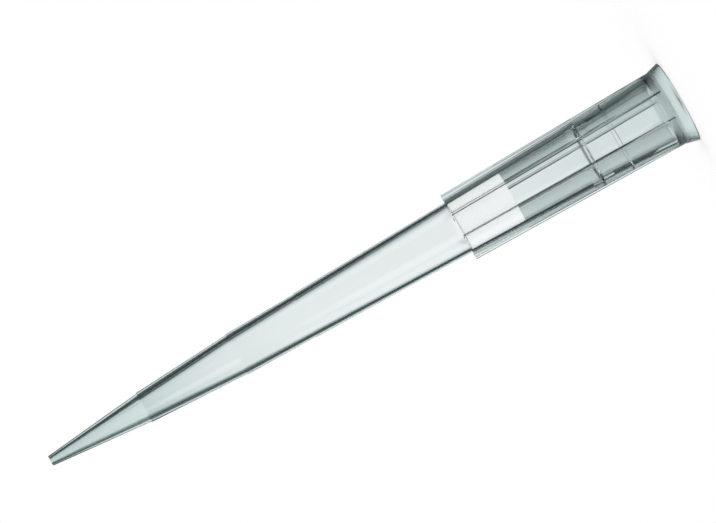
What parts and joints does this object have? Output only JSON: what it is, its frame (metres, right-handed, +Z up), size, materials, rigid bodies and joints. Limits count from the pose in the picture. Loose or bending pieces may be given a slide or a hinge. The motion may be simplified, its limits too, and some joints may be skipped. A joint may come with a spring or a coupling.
{
  "type": "filter pipette tip",
  "caption": "Long tapered clear tube for moving small volumes of liquid, with volume steps, a ribbed collar, a bell mouth and a white porous plug inside.",
  "frame": {"origin": "centre of the mouth's rim, on the plane that the tip stands on", "axes": "+Z up along the tip's axis, from the mouth to the orifice; +X and +Y lie in the rim's plane"},
  "size_m": [0.0072, 0.0072, 0.0594],
  "materials": {
    "clear_moulding": "clear polypropylene, polished",
    "porous_white": "sintered white polyethylene, matt and finely porous"
  },
  "bodies": {
    "root": {"tip_body": "clear_moulding", "filter_plug": "porous_white"}
  },
  "joints": []
}
